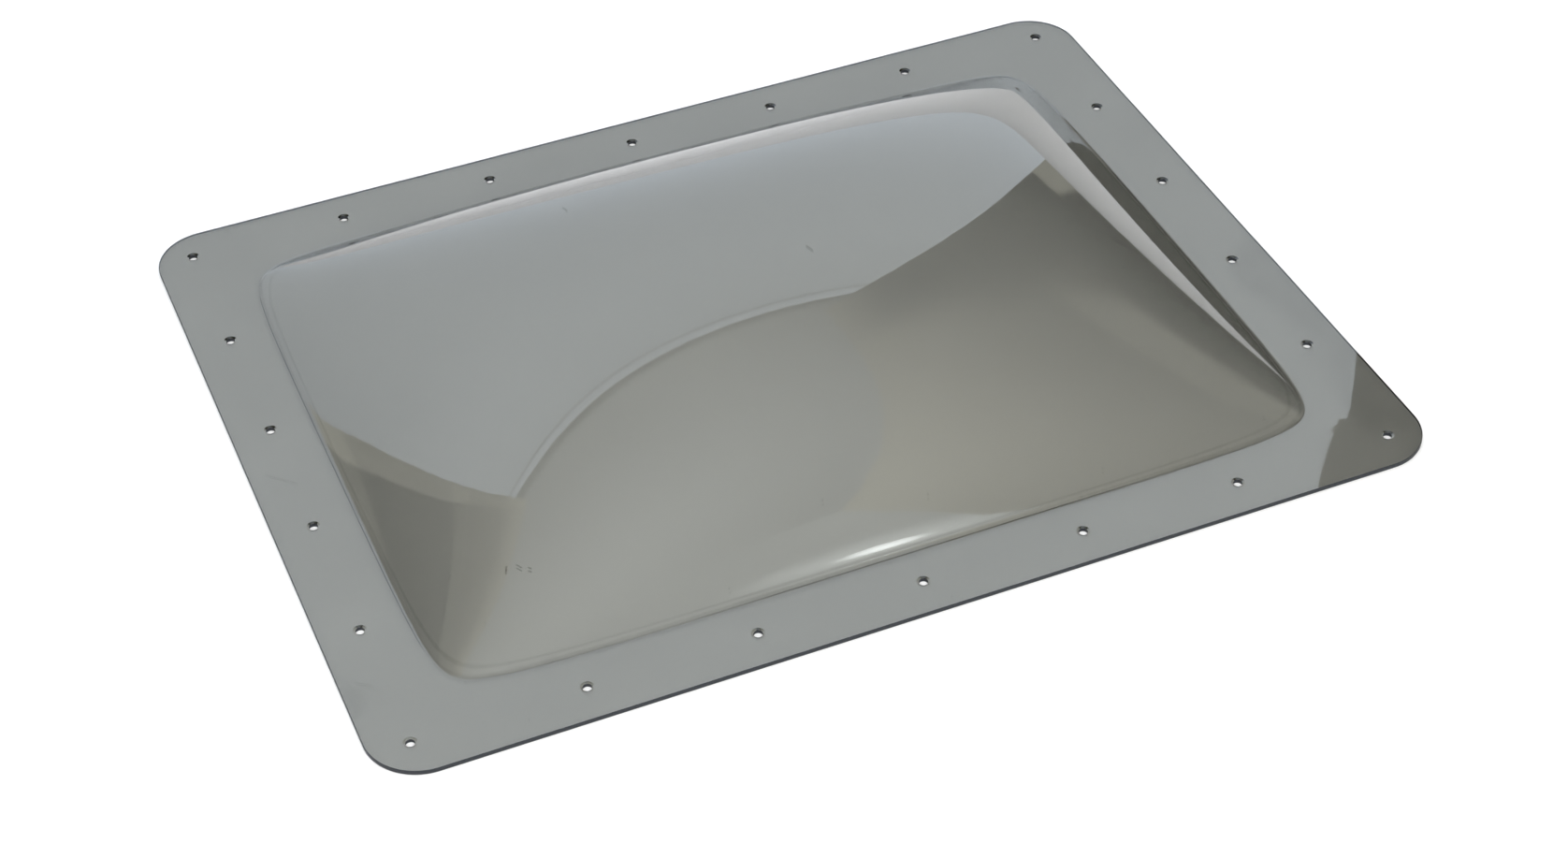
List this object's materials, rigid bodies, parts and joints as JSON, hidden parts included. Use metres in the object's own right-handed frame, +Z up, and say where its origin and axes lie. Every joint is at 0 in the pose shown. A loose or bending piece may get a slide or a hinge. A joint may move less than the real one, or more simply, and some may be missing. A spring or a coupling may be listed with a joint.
{
  "type": "roof skylight cover",
  "caption": "Smoked clear skylight cover: a shallow blown dome in one piece with a flat rectangular flange, drilled all round for roof screws.",
  "frame": {"origin": "centre of the flat flange's underside, the face that lies on the roof", "axes": "+X along the long side of the flange, +Y along the short side, +Z up through the top of the dome"},
  "size_m": [0.7112, 0.5588, 0.0982],
  "materials": {
    "dome_cover": "clear smoked polycarbonate, glossy on both faces"
  },
  "bodies": {
    "root": {"dome_cover": "dome_cover"}
  },
  "joints": []
}
